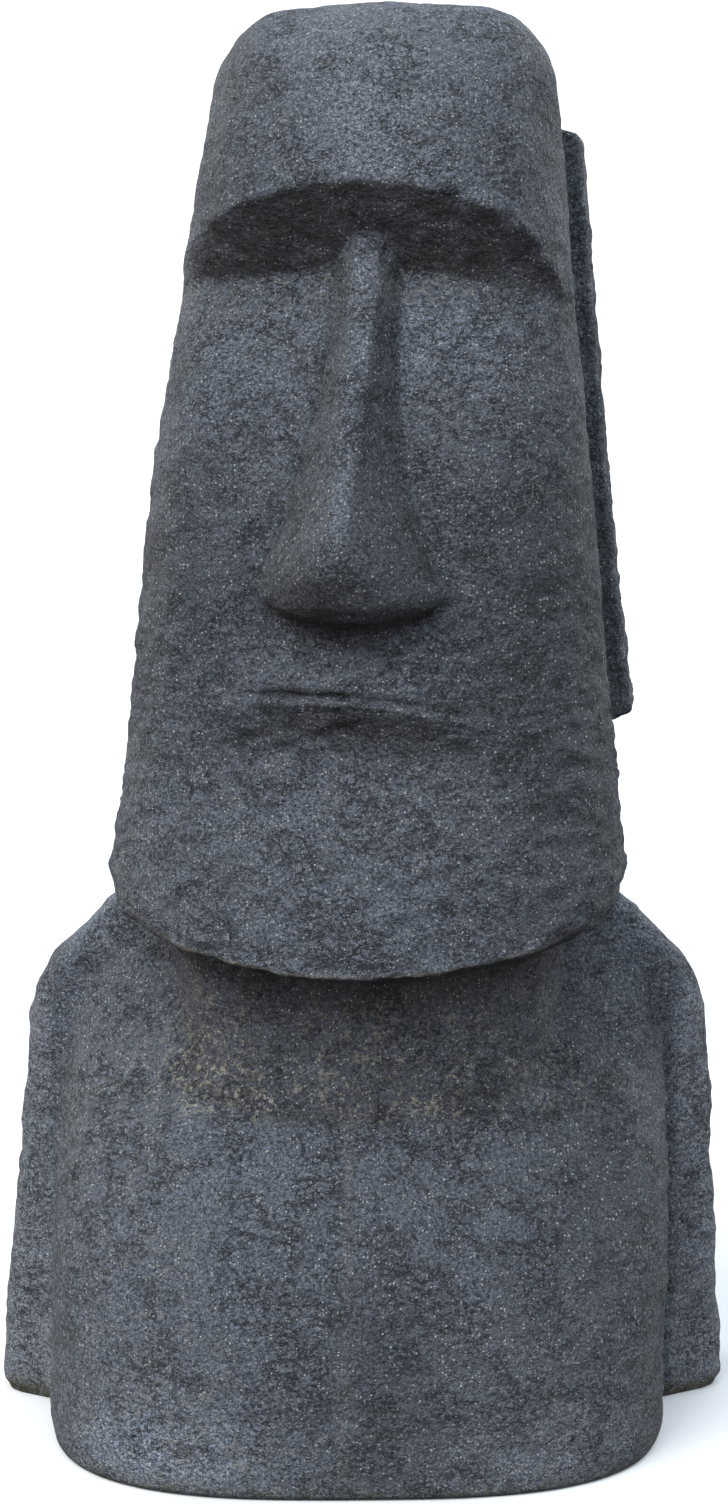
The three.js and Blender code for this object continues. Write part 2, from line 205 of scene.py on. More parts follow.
def arms(x, y, z):
    x = x - along(z, ARM_X)
    f = rmax(np.abs(x) - along(z, ARM_O), 19 + 0.55 * np.maximum(np.abs(x) - 226, 0) - y, 9)
    f = rmax(f, y - 132, 12)
    f = rmax(f, shoulder_slope(x, z), 17)
    f = rmax(f, chest_slope(x, y, z) - 14, 18)
    f = rmax(f, back_slope(x, y, z) - 2, 18)
    f = np.maximum(f, 150 - np.abs(x))
    return rmax(f, 3 - z, 8)


def neck(x, y, z):
    w = along(z, NECK_W)
    return np.maximum(plan(x - 3, y - 18, 143 + w, 115 + w, 98 + 0.3 * w, 2.8), z - 470)


def solid(x, y, z):
    f = rmin(bust(x, y, z), neck(x, y, z), 5 + 7 * step(-40, 40, y))
    f = rmin(f, arms(x, y, z), 9)
    h = rmin(head(x, y, z), ears(x, y, z), 4)
    f = rmin(f, h, 6 + 16 * step(-70, 30, y))
    return rmax(f, -z, 4)


# =====================================================================
# The skin: rows of points sent out from a core line until they leave the
# stone. Half the columns run from the front (0) to the back (180 degrees).
# =====================================================================
HALF = 125
COLS = 2 * HALF
DOME = 44
DOME_Z = 940.0
BANDS = [(5, 230, 4.3), (230, 340, 3.7), (340, 346, 1.6), (346, 358, 0.75), (358, 368, 1.7), (368, 500, 3.1), (500, 545, 1.6),
         (545, 573, 2.6), (573, 608, 1.5), (608, 795, 3.1), (795, 872, 2.2), (872, 895, 2.8), (895, 912, 1.7), (912, DOME_Z, 3.0)]
CORE_Y = [(0, 35), (300, 38), (420, 45), (905, 45), (945, 8), (1000, 8)]


def core_y(z):
    return along(z, CORE_Y)


def half_angles(z):
    """For a row at height z: the angle of each column from the front (0) to the back (180), in degrees."""
    cy = float(core_y(z))
    a = float(along(z, HEAD_HALF)) - 3.9
    o = float(along(z, EAR_O))
    b = float(along(z, HEAD_HALF)) - 7.3e-4 * (88 + 45) ** 2
    ear = [atan2(a - 2, cy - EAR_W0 + 1.0), atan2(o - 1, cy - EAR_W0 - 1.0), atan2(o - 1, cy - EAR_W1 + 1), atan2(b - 2, cy - EAR_W1 - 1)]
    ear = [v * 180 / pi for v in ear]
    head_map = np.interp(np.arange(HALF + 1), [0, 56, 76, 84, 101, 105, HALF], [0, 60] + ear + [180])
    ba, ao = float(along(z, BUST_A)), float(along(z, ARM_O))
    arm = [atan2(ba - 2, cy - 16), atan2(ao - 4, cy - 39), atan2(ao - 6, cy - 131), atan2(ba - 4, cy - 136)]
    arm = [v * 180 / pi for v in arm]
    body_map = np.interp(np.arange(HALF + 1), [0, 54, 72, 86, 100, 105, HALF], [0, 60] + arm + [180])
    k = float(step(330, 440, z))
    return body_map * (1 - k) + head_map * k


def cast(O, D, reach, steps=70, fine=14):
    n = len(O)
    lo, hi = np.zeros(n), np.full(n, float(reach))
    live = np.arange(n)
    d = reach / steps
    for k in range(steps):
        t = reach - d * (k + 1)
        P = O[live] + D[live] * t
        inside = solid(P[:, 0], P[:, 1], P[:, 2]) < 0
        lo[live[inside]], hi[live[inside]] = t, t + d
        live = live[~inside]
        if not len(live):
            break
    for k in range(fine):
        m = (lo + hi) / 2
        P = O + D * m[:, None]
        inside = solid(P[:, 0], P[:, 1], P[:, 2]) < 0
        lo, hi = np.where(inside, m, lo), np.where(inside, hi, m)
    return (lo + hi) / 2


def skin():
    level = []
    for z0, z1, s in BANDS:
        n = max(1, int(round((z1 - z0) / s)))
        level += list(np.linspace(z0, z1, n, endpoint=False))
    level = np.array(level)
    R = len(level)

    def full_circle(z):
        h = np.radians(half_angles(z))
        return np.concatenate([-h[:0:-1], h[:-1]])  # -180 ... just under +180

    theta = np.array([full_circle(z) for z in level])
    Z = np.repeat(level[:, None], COLS, 1)
    cross = np.where(np.cos(theta) > 0, np.clip(np.sin(theta) * 170 / np.maximum(np.cos(theta), 1e-3), -180, 180), np.sign(theta) * 180)
    lift = chin_edge(cross) - CHIN_Z + 24 * step(50, 90, np.abs(np.degrees(theta)))
    Z = Z + lift * np.where(Z < CHIN_Z, step(235, CHIN_Z, Z), 1 - step(CHIN_Z, 520, Z))
    heading = theta - TURN * step(300, 430, level)[:, None]
    O = np.stack([along(Z, LEAN) * step(300, 460, Z), core_y(Z), Z], -1)
    D = np.stack([np.sin(heading), -np.cos(heading), np.zeros_like(Z)], -1)
    core = np.array([float(along(DOME_Z, LEAN)), float(core_y(DOME_Z)), DOME_Z])
    rise, run = HEIGHT - DOME_Z, 100.0
    s = np.linspace(0, 1, DOME + 1)[:-1] * DOME / (DOME - 0.0)
    s = np.interp(np.linspace(0, 1, DOME + 1)[:-1], np.linspace(0, 1, DOME), np.linspace(0, 1, DOME + 1)[:-1]) * (rise + run)
    tilt = np.arctan2(np.minimum(s, rise), np.where(s < rise, run, run - (s - rise)))
    top = full_circle(DOME_Z) - TURN
    Dt = np.stack([np.cos(tilt)[:, None] * np.sin(top)[None], -np.cos(tilt)[:, None] * np.cos(top)[None], np.repeat(np.sin(tilt)[:, None], COLS, 1)], -1)
    Ot = np.broadcast_to(core, Dt.shape)
    Oa = np.concatenate([O.reshape(-1, 3), Ot.reshape(-1, 3)])
    Da = np.concatenate([D.reshape(-1, 3), Dt.reshape(-1, 3)])
    P = (Oa + Da * cast(Oa, Da, 330.0)[:, None]).reshape(R + DOME, COLS, 3)
    pole = core + np.array([0, 0, cast(core[None], np.array([[0, 0, 1.0]]), 200.0)[0]])
    # the worn rim and the flat underside
    centre = np.array([0, 10.0, 0])
    d = P[0] - centre
    L = np.hypot(d[:, 0], d[:, 1])
    rings = []
    for inset, z in [(0.6, 3.2), (1.8, 1.3), (3.6, 0.35), (6.0, 0.0)]:
        ring = P[0].copy()
        ring[:, :2] = centre[:2] + d[:, :2] * ((L - inset) / L)[:, None]
        ring[:, 2] = z
        rings.append(ring)
    for s in np.linspace(1, 0, 6)[1:-1]:
        ring = rings[3].copy()
        ring[:, :2] = centre[:2] + (rings[3][:, :2] - centre[:2]) * s
        ring[:, 2] = 0
        rings.append(ring)
    G = np.concatenate([np.array(rings[::-1]), P])
    return G, centre, pole, len(rings)


G, base_centre, pole, N_BASE = skin()
ROWS = len(G)

# ---------------------------------------------------------------- normals on the grid


def grid_normals(G):
    up = np.empty_like(G)
    up[1:-1] = G[2:] - G[:-2]
    up[0] = G[1] - G[0]
    up[-1] = pole - G[-2]
    side = np.roll(G, -1, 1) - np.roll(G, 1, 1)
    n = np.cross(side, up)
    n /= np.maximum(np.linalg.norm(n, axis=-1, keepdims=True), 1e-9)
    return n


def gradient_normals(P):
    e = 0.5
    x, y, z = P[..., 0], P[..., 1], P[..., 2]
    n = np.stack([solid(x + e, y, z) - solid(x - e, y, z), solid(x, y + e, z) - solid(x, y - e, z), solid(x, y, z + e) - solid(x, y, z - e)], -1)
    return n / np.maximum(np.linalg.norm(n, axis=-1, keepdims=True), 1e-9)


# ---------------------------------------------------------------- seeded noise


def lattice(i, j, k, seed):
    h = (i.astype(np.uint64) * np.uint64(73856093)) ^ (j.astype(np.uint64) * np.uint64(19349663)) ^ (k.astype(np.uint64) * np.uint64(83492791)) ^ np.uint64(seed * 2654435761 & 0xFFFFFFFF)
    h = (h ^ (h >> np.uint64(13))) * np.uint64(0x9E3779B97F4A7C15)
    h = h ^ (h >> np.uint64(29))
    h = h * np.uint64(0xBF58476D1CE4E5B9)
    return h ^ (h >> np.uint64(32))


def noise(P, size, seed):
    """Gradient noise of P (mm) with the given cell size; size may be one number or three. About -1..1."""
    Q = P / np.asarray(size, float) + 1000.0
    i = np.floor(Q).astype(np.int64)
    f = Q - i
    w = f * f * f * (f * (f * 6 - 15) + 10)
    total = 0
    for a in (0, 1):
        for b in (0, 1):
            for c in (0, 1):
                h = lattice(i[..., 0] + a, i[..., 1] + b, i[..., 2] + c, seed)
                t = (h & np.uint64(0xFFFF)).astype(float) / 65535 * 2 * pi
                v = ((h >> np.uint64(16)) & np.uint64(0xFFFF)).astype(float) / 65535 * 2 - 1
                r = np.sqrt(1 - v * v)
                g = r * np.cos(t) * (f[..., 0] - a) + r * np.sin(t) * (f[..., 1] - b) + v * (f[..., 2] - c)
                wa = w[..., 0] if a else 1 - w[..., 0]
                wb = w[..., 1] if b else 1 - w[..., 1]
                wc = w[..., 2] if c else 1 - w[..., 2]
                total = total + g * wa * wb * wc
    return total * 1.55


# ---------------------------------------------------------------- relief of the stone
Nrm = gradient_normals(G)
U, W = head_local(G[..., 0], G[..., 1], G[..., 2])
Zg = G[..., 2]
Xg, Yg = G[..., 0], G[..., 1]
front = step(0.15, 0.6, -Nrm[..., 1])
is_head = step(350, 366, Zg - 1.12e-3 * np.clip(U, -180, 180) ** 2)

# how lumpy the surface is: most on the chin, jaw and upper chest, least on the forehead and the nose
lump = 0.75 + 0.5 * bell(Zg, 420, 70) * is_head + 0.35 * bell(Zg, 215, 60) + 0.25 * step(650, 560, Zg) * is_head
lump = lump * (1 - 0.35 * step(840, 880, Zg)) * (1 + 0.35 * noise(G, 60, 5))
nose_zone = step(70, 30, np.abs(U)) * step(575, 600, Zg) * step(840, 800, Zg) * front
lump = lump * (1 - 0.45 * nose_zone)
height = 1.0 * noise(G, 75, 1) + 0.9 * noise(G, 34, 2)
coarse = noise(G, (18, 18, 15), 3)
fine = noise(G, (9.5, 9.5, 8.5), 4)
height = height + lump * (1.6 * coarse + 1.35 * fine)
# shallow flakes: small flats with a sharp lower lip
flake = noise(G, (26, 26, 15), 7) + 0.5 * noise(G, (11, 11, 8), 8)
height = height - 0.7 * lump * step(0.18, 0.30, flake) * step(0.75, 0.45, flake)


def near(x, z, rx, rz, face=-1):
    """1 at a place on the front (face -1), falling off over rx across and rz up."""
    return np.exp(-(((Xg - x) / rx) ** 2 + ((Zg - z) / rz) ** 2) / 2) * (Nrm[..., 1] * face > 0)


# chips on the brow's edge and the chin's edge
height = height - 3.2 * near(56, 866, 6, 3.2) - 1.8 * near(-30, 872, 5, 2.5) - 1.6 * near(92, 853, 5, 3) - 1.5 * near(-88, 858, 6, 3)
height = height - 4.0 * step(20, 12, np.abs(Xg + 16)) * bell(Zg, 356.5, 4.5) * front * is_head
height = height - 2.0 * near(72, 360, 10, 3) - 1.5 * near(-95, 366, 9, 3) - 1.8 * near(133, 377, 9, 4)
height = height - 2.2 * near(-42, 133.5, 4.5, 4.0) - 1.6 * near(112, 30, 12, 4) - 1.5 * near(-118, 190, 4, 2.5)
# mould seam down the chest
seam_x = -12.7 - 3.6 * step(239, 9, Zg)
seam = bell(Xg, seam_x + 1.2 * noise(G, 30, 11), 2.6) * front * step(262, 235, Zg)
height = height + 0.8 * seam * (0.6 + 0.6 * noise(G, 14, 12))
# the ear's front face: a line between the head's side and the rim; a shallow panel on the outer face
ear_o = along(Zg, EAR_O)
ear_foot = along(Zg, HEAD_HALF) - 3.9
ear_s = (np.abs(U) - ear_foot) / np.maximum(ear_o - ear_foot, 1)
in_ear = step(EAR_Z0 - 4, EAR_Z0 + 10, Zg) * step(EAR_Z1 + 4, EAR_Z1 - 10, Zg)
ear_front = in_ear * bell(W, 28, 4) * (ear_s > -0.1) * (ear_s < 1.2)
height = height - 3.0 * ear_front * bell(ear_s, 0.36, 0.12)
rim_k = step(36, 40, W) * step(80, 76, W) * step(EAR_Z0 + 16, EAR_Z0 + 22, Zg) * step(EAR_Z1 - 10, EAR_Z1 - 16, Zg) * (np.abs(U) > ear_o - 4)
height = height - 2.2 * rim_k
rim = step(0, 12, Zg)  # the underside stays flat
height = height * rim
P3 = G + Nrm * height[..., None]

# ---------------------------------------------------------------- masks kept on the mesh
sky = np.zeros(Zg.shape)
flat_P = (G + Nrm * 2.0).reshape(-1, 3)
dirs = []
for el, n in ((70, 4), (40, 8), (12, 8)):
    for k in range(n):
        az = 2 * pi * (k + 0.5 * (el == 40)) / n
        dirs.append((cos(radians(el)) * sin(az), -cos(radians(el)) * cos(az), sin(radians(el))))
weight_sum = np.zeros(len(flat_P))
open_sum = np.zeros(len(flat_P))
fn = Nrm.reshape(-1, 3)
for d in dirs:
    c = np.clip(fn @ np.array(d), 0, 1)
    live = np.nonzero(c > 0.02)[0]
    clear = np.ones(len(live))
    for t in (6.0, 14.0, 28.0, 55.0):
        Q = flat_P[live] + np.array(d) * t
        clear = np.minimum(clear, np.clip(solid(Q[:, 0], Q[:, 1], Q[:, 2]) / (0.25 * t) + 0.5, 0, 1))
    weight_sum[live] += c[live]
    open_sum[live] += c[live] * clear
SKY = (open_sum / len(dirs) * 2.6).reshape(Zg.shape)
OPEN = (open_sum / np.maximum(weight_sum, 1e-6)).reshape(Zg.shape)
OPEN[weight_sum.reshape(Zg.shape) < 0.05] = 0
# painted shade with some grime: hollows closed to the sky and surfaces facing down are darkened in the colour, the
# brow's underside fully
down = np.clip(-Nrm[..., 2], 0, 1)
grime_and_painted_shade = np.clip(step(0.85, 0.25, OPEN) * 0.9 + step(0.25, 0.75, down) * 0.8, 0, 1)
brow_under_shade = step(0.25, 0.5, down) * step(800, 812, Zg) * (Zg < 900)
grime_and_painted_shade = np.maximum(grime_and_painted_shade, brow_under_shade)

edge_d = Zg - chin_edge(np.clip(U, -178, 178))
chin_line = bell(edge_d, 0.8, 1.5) * front * (np.abs(U) < 176) * (0.7 + 0.6 * noise(G, 12, 21))
seam_tone = seam * 0.5

# the neck is darkened down to a crescent on the chest: painted shade under the chin, with a stain
crescent = np.interp(Xg, [-129, -101, -80, -59, -25, 23, 50, 92, 107, 136], [255, 248, 243.6, 241.5, 240, 239, 241.5, 245.5, 250, 262])
wob = 2.5 * noise(G, 16, 31)
neck_stain_and_shade = step(-1.5, 3.5, Zg - crescent + wob) * step(-138, -128, Xg + wob) * (1 - 0.85 * step(85, 150, Xg)) * step(356, 340, edge_d + CHIN_Z) * step(-20, -45, Yg)
neck_stain_and_shade = neck_stain_and_shade * (0.75 + 0.25 * bell(Zg, 250, 18))
neck_zone = step(236, 250, Zg + wob) * step(350, 325, Zg) * step(-20, -45, Yg)
lichen = neck_zone * (0.35 + 0.65 * np.clip(near(-112, 278, 26, 26) + near(-80, 262, 26, 15) + 0.45 * near(37, 284, 60, 26), 0, 1))
lichen = lichen + 0.35 * near(35, 819, 22, 8) + 0.35 * near(-24, 825, 10, 18) + 0.4 * near(-75, 806, 45, 9) + 0.4 * near(66, 808, 40, 9)
lichen = lichen + 0.45 * near(-114, 42, 60, 32) + 0.35 * near(-150, 150, 25, 60) + 0.30 * near(130, 37, 40, 25) + 0.2 * near(0, 478, 60, 30)
lichen = np.clip(lichen, 0, 1)
moss = np.clip(step(14, 3, Zg) * 0.55, 0, 1)
arm_bottom = (np.abs(Xg) > 222) * step(20, 4, Zg)
moss = np.clip(np.maximum(moss, arm_bottom), 0, 1)
pale = np.clip(chin_line + 0.5 * seam_tone, 0, 1)

# painted light and shade in the colour, with some weathering: a painted sheen on the forehead and the upper cheeks, the
# upper chest and the low corners lighter, painted shade on the lower cheeks, under the mouth and down the right side,
# the temples and lower chest darker; the arms lighter with dust
weathering_and_painted_light = 0.50 * near(1, 915, 45, 60) - 0.10 * near(95, 890, 30, 40) - 0.22 * near(-95, 890, 35, 50)
weathering_and_painted_light = weathering_and_painted_light + 0.26 * near(-76, 775, 36, 38) + 0.50 * near(55, 775, 34, 38)
weathering_and_painted_light = weathering_and_painted_light - 0.42 * near(-115, 600, 50, 70) - 0.80 * near(115, 600, 50, 80)
weathering_and_painted_light = weathering_and_painted_light - 0.30 * near(-5, 518, 62, 16) + 0.08 * near(-15, 440, 50, 30) - 0.50 * near(130, 450, 38, 55)
weathering_and_painted_light = weathering_and_painted_light + 0.06 * near(-93, 206, 50, 40) - 0.60 * near(160, 215, 42, 75) - 0.45 * near(8, 105, 38, 55) + 0.35 * near(10, 310, 70, 25) - 0.12 * near(90, 120, 40, 60)
weathering_and_painted_light = weathering_and_painted_light + 0.95 * near(-145, 30, 55, 30) + 0.40 * near(130, 30, 45, 22)
# the arms are lighter with dust
arm_zone = step(222, 232, np.abs(Xg)) * step(330, 300, Zg)
weathering_and_painted_light = weathering_and_painted_light + 0.60 * arm_zone
nose_s = U - along(Zg, NOSE_C)
nose_on = step(575, 590, Zg) * step(835, 815, Zg) * (np.abs(nose_s) < along(Zg, NOSE_F) + 2) * front
# painted shade on both flanks of the nose, more on the right, and a painted highlight down the ridge
weathering_and_painted_light = weathering_and_painted_light - 0.50 * nose_on * step(0.05, 0.30, Nrm[..., 0]) - 0.42 * nose_on * step(-0.05, -0.30, Nrm[..., 0]) + 0.28 * nose_on * bell(nose_s, -3, 8) * step(628, 645, Zg)
# a lighter band along the nose's underside, and painted light on the tops of the shoulders
weathering_and_painted_light = weathering_and_painted_light + 0.35 * near(-4, 606, 45, 9) + 0.45 * step(330, 352, Zg) * (np.abs(Xg) > 150) * (is_head < 0.5)
# a warmer tint on side-facing surfaces, the dusty arms, the neck and surfaces facing down; on the undersides it browns
# the painted shade
warm = np.clip(0.75 * step(0.35, 0.85, np.abs(Nrm[..., 0])) * step(0.9, 0.5, -Nrm[..., 1]) + arm_zone * 0.6 + neck_stain_and_shade * 0.5 + 0.5 * step(0.1, 0.5, down), 0, 1)

# ---------------------------------------------------------------- mesh
box_mid = np.array([(G[..., 0].max() + G[..., 0].min()) / 2, (G[..., 1].max() + G[..., 1].min()) / 2, 0])


def build(P, centre, pole, masks):
    V = np.concatenate([P.reshape(-1, 3), centre[None], pole[None]]) - box_mid
    V = V / 1000.0
    n, C = ROWS, COLS
    idx = np.arange(n * C).reshape(n, C)
    a, b = idx[:-1], idx[1:]
    quads = np.stack([a, np.roll(a, -1, 1), np.roll(b, -1, 1), b], -1).reshape(-1, 4)
    low = np.stack([np.full(C, n * C), np.roll(idx[0], -1), idx[0]], -1)
    high = np.stack([np.full(C, n * C + 1), idx[-1], np.roll(idx[-1], -1)], -1)
    me = bpy.data.meshes.new("moai_stone")
    me.vertices.add(len(V))
    me.vertices.foreach_set("co", V.astype(np.float32).ravel())
    loops = np.concatenate([quads.ravel(), low.ravel(), high.ravel()]).astype(np.int32)
    counts = np.concatenate([np.full(len(quads), 4), np.full(len(low) + len(high), 3)]).astype(np.int32)
    me.loops.add(len(loops))
    me.loops.foreach_set("vertex_index", loops)
    me.polygons.add(len(counts))
    me.polygons.foreach_set("loop_start", np.concatenate([[0], np.cumsum(counts)[:-1]]).astype(np.int32))
    me.polygons.foreach_set("loop_total", counts)
    me.polygons.foreach_set("use_smooth", np.ones(len(counts), bool))
    me.update(calc_edges=True)
    for name, values in masks.items():
        at = me.attributes.new(name, "FLOAT", "POINT")
        v = np.concatenate([values.ravel(), [0, values[-1].mean()]])
        at.data.foreach_set("value", v.astype(np.float32))
    # unwrap: the columns and rows of the skin, with their real spacing, and the underside as a disc
    around = np.linalg.norm(np.roll(P, -1, 1) - P, axis=-1)
    col_w = np.median(around[N_BASE:], 0)
    col_w = np.maximum(col_w, 1.2)
    u_pos = np.concatenate([[0], np.cumsum(col_w)])
    rise = np.linalg.norm(P[1:] - P[:-1], axis=-1)
    row_h = np.maximum(np.median(rise[:, :], 1), 0.8)
    skin_from = N_BASE
    v_pos = np.concatenate([[0], np.cumsum(row_h[skin_from:])])
    v_top = v_pos[-1] + 4
    su, sv = 0.985 / u_pos[-1], 0.80 / v_top
    uv = np.zeros((len(loops), 2))
    q = quads.reshape(n - 1, C, 4)
    cols = np.arange(C)
    nq = len(quads)
    quv = np.zeros((n - 1, C, 4, 2))
    for r in range(n - 1):
        if r >= skin_from:
            v0, v1 = v_pos[r - skin_from], v_pos[r + 1 - skin_from]
            quv[r, :, 0] = np.stack([u_pos[cols], np.full(C, v0)], -1)
            quv[r, :, 1] = np.stack([u_pos[cols + 1], np.full(C, v0)], -1)
            quv[r, :, 2] = np.stack([u_pos[cols + 1], np.full(C, v1)], -1)
            quv[r, :, 3] = np.stack([u_pos[cols], np.full(C, v1)], -1)
    quv[..., 0] = 0.0075 + quv[..., 0] * su
    quv[..., 1] = 0.005 + quv[..., 1] * sv
    disc = P[:skin_from + 1, :, :2] - centre[:2]
    disc_s = 0.085 / np.abs(disc).max()
    grow = 1 + 0.01 * np.arange(skin_from + 1)[:, None, None] / skin_from
    D2 = disc * disc_s * grow + np.array([0.5, 0.905])
    for r in range(skin_from):
        quv[r, :, 0] = D2[r]
        quv[r, :, 1] = np.roll(D2[r], -1, 0)
        quv[r, :, 2] = np.roll(D2[r + 1], -1, 0)
        quv[r, :, 3] = D2[r + 1]
    uv[: nq * 4] = quv.reshape(-1, 2)
    lu = np.zeros((C, 3, 2))
    lu[:, 0] = [0.5, 0.905]
    lu[:, 1] = np.roll(D2[0], -1, 0)
    lu[:, 2] = D2[0]
    hu = np.zeros((C, 3, 2))
    hu[:, 0] = np.stack([0.0075 + (u_pos[cols] + u_pos[cols + 1]) / 2 * su, np.full(C, 0.005 + v_top * sv)], -1)
    hu[:, 1] = np.stack([0.0075 + u_pos[cols] * su, np.full(C, 0.005 + v_pos[-1] * sv)], -1)
    hu[:, 2] = np.stack([0.0075 + u_pos[cols + 1] * su, np.full(C, 0.005 + v_pos[-1] * sv)], -1)
    uv[nq * 4: nq * 4 + C * 3] = lu.reshape(-1, 2)
    uv[nq * 4 + C * 3:] = hu.reshape(-1, 2)
    layer = me.uv_layers.new(name="OFBake")
    layer.data.foreach_set("uv", uv.astype(np.float32).ravel())
    me.validate()
    return me


mesh = build(P3, base_centre, pole, {"grime_and_painted_shade": grime_and_painted_shade, "lichen": lichen, "moss": moss, "pale": pale, "neck_stain_and_shade": neck_stain_and_shade, "weathering_and_painted_light": 0.5 + 0.5 * np.clip(weathering_and_painted_light, -1, 1), "warm": warm})
statue = bpy.data.objects.new("moai_carving", mesh)
bpy.context.scene.collection.objects.link(statue)

# =====================================================================
# Stone
# =====================================================================
mat = bpy.data.materials.new("cast_stone")
mat.use_nodes = True
T = mat.node_tree
T.nodes.clear()


def node(kind, **settings):
    n = T.nodes.new(kind)
    for key, value in settings.items():
        if hasattr(n, key):
            setattr(n, key, value)
    return n


def plug(a, out, b, inp):
    T.links.new(a.outputs[out], b.inputs[inp])


coord = node("ShaderNodeTexCoord")


def tex_noise(scale, detail=2.0, rough=0.5, distortion=0.0, stretch=None):
    n = node("ShaderNodeTexNoise")
    n.inputs["Scale"].default_value = scale
    n.inputs["Detail"].default_value = detail
    n.inputs["Roughness"].default_value = rough
    n.inputs["Distortion"].default_value = distortion
    if stretch is not None:
        m = node("ShaderNodeMapping")
        m.inputs["Scale"].default_value = stretch
        plug(coord, "Object", m, "Vector")
        T.links.new(m.outputs[0], n.inputs["Vector"])
    else:
        plug(coord, "Object", n, "Vector")
    return n.outputs["Fac"]


def ramp(value, low, high, smooth=True):
    m = node("ShaderNodeMapRange")
    m.interpolation_type = "SMOOTHSTEP" if smooth else "LINEAR"
    m.inputs["From Min"].default_value = low
    m.inputs["From Max"].default_value = high
    T.links.new(value, m.inputs["Value"])
    return m.outputs[0]


def math(op, a, b=None, c=None):
    m = node("ShaderNodeMath", operation=op)
    for i, v in enumerate((a, b, c)):
        if v is None:
            continue
        if isinstance(v, (int, float)):
            m.inputs[i].default_value = v
        else:
            T.links.new(v, m.inputs[i])
    return m.outputs[0]


def mix(factor, a, b, mode="MIX"):
    m = node("ShaderNodeMix", data_type="RGBA", blend_type=mode)
    m.clamp_factor = True
    for sock, v in ((m.inputs[0], factor), (m.inputs[6], a), (m.inputs[7], b)):
        if isinstance(v, (int, float)):
            sock.default_value = v
        elif isinstance(v, tuple):
            sock.default_value = (*v, 1.0) if len(v) == 3 else v
        else:
            T.links.new(v, sock)
    return m.outputs[2]


def mask(name):
    n = node("ShaderNodeAttribute", attribute_name=name)
    return n.outputs["Fac"]


def cells(scale, keep, radius, jitter=0.0):
    """Small round spots: one in some of the cells."""
    v = node("ShaderNodeTexVoronoi")
    v.inputs["Scale"].default_value = scale
    plug(coord, "Object", v, "Vector")
    near = ramp(v.outputs["Distance"], radius, radius * 0.5)
    sep = node("ShaderNodeSeparateColor")
    T.links.new(v.outputs["Color"], sep.inputs[0])
    some = ramp(sep.outputs[0], 1 - keep, 1 - keep + 0.02)
    return math("MULTIPLY", near, some), sep.outputs[1]


grain = tex_noise(420, 4, 0.7)
grit = tex_noise(1000, 2, 0.6)
blotch = tex_noise(20, 5, 0.66)
broad = tex_noise(5, 3, 0.55)

base = mix(ramp(grain, 0.36, 0.66), (0.032, 0.039, 0.053), (0.175, 0.198, 0.236))
base = mix(math("MULTIPLY", ramp(blotch, 0.42, 0.64), 0.24), base, (0.060, 0.067, 0.080))
base = mix(math("MULTIPLY", ramp(broad, 0.45, 0.7), 0.25), base, (0.125, 0.130, 0.134))
base = mix(math("MULTIPLY", ramp(grit, 0.57, 0.69), 0.75), base, (0.34, 0.35, 0.365))
base = mix(math("MULTIPLY", ramp(grit, 0.44, 0.32), 0.85), base, (0.016, 0.018, 0.022))

# weathering with painted light and shade: a gain on the colour
weathering_and_light_m = mask("weathering_and_painted_light")
gain = math("MULTIPLY_ADD", weathering_and_light_m, 2.0, -1.0)
gain = math("POWER", 2.2, gain)
gain_c = node("ShaderNodeCombineColor")
for i in range(3):
    T.links.new(gain, gain_c.inputs[i])
base = mix(1.0, base, gain_c.outputs[0], "MULTIPLY")
base = mix(math("MULTIPLY", mask("warm"), 0.8), base, (1.06, 1.0, 0.92), "MULTIPLY")

# the neck's painted shade and stain
neck_stain_shade_n = math("MULTIPLY", mask("neck_stain_and_shade"), ramp(tex_noise(45, 4, 0.65), 0.10, 0.50))
base = mix(math("MULTIPLY", neck_stain_shade_n, 0.50), base, (0.030, 0.030, 0.032))
# painted shade, with some grime, in the hollows and under the overhangs
grime_and_shade_n = math("MULTIPLY", mask("grime_and_painted_shade"), ramp(tex_noise(60, 4, 0.65), 0.20, 0.60))
base = mix(math("MULTIPLY", grime_and_shade_n, 0.66), base, (0.030, 0.026, 0.023))

speck, tint = cells(190, 0.12, 0.19)
base = mix(math("MULTIPLY", speck, 0.75), base, mix(tint, (0.42, 0.38, 0.29), (0.50, 0.52, 0.54)))
dust, tint3 = cells(400, 0.24, 0.34)
base = mix(math("MULTIPLY", dust, 0.75), base, mix(tint3, (0.46, 0.42, 0.33), (0.55, 0.57, 0.60)))
chip, tint2 = cells(55, 0.045, 0.070)
base = mix(math("MULTIPLY", chip, 0.9), base, (0.62, 0.58, 0.50))
pit, _ = cells(120, 0.12, 0.15)
base = mix(math("MULTIPLY", pit, 0.85), base, (0.012, 0.013, 0.015))

# flakes: the stone's skin has come away in small patches with a broken, mostly level edge
flake_n = tex_noise(62, 6, 0.72, stretch=(1.0, 1.0, 1.7))
flake_on = ramp(tex_noise(30, 3, 0.6), 0.45, 0.56)
ledge = math("MULTIPLY", ramp(flake_n, 0.485, 0.505), flake_on)
rift = math("MULTIPLY", ramp(math("ABSOLUTE", math("SUBTRACT", flake_n, 0.495)), 0.022, 0.006), flake_on)
base = mix(math("MULTIPLY", rift, 0.85), base, (0.012, 0.012, 0.013))

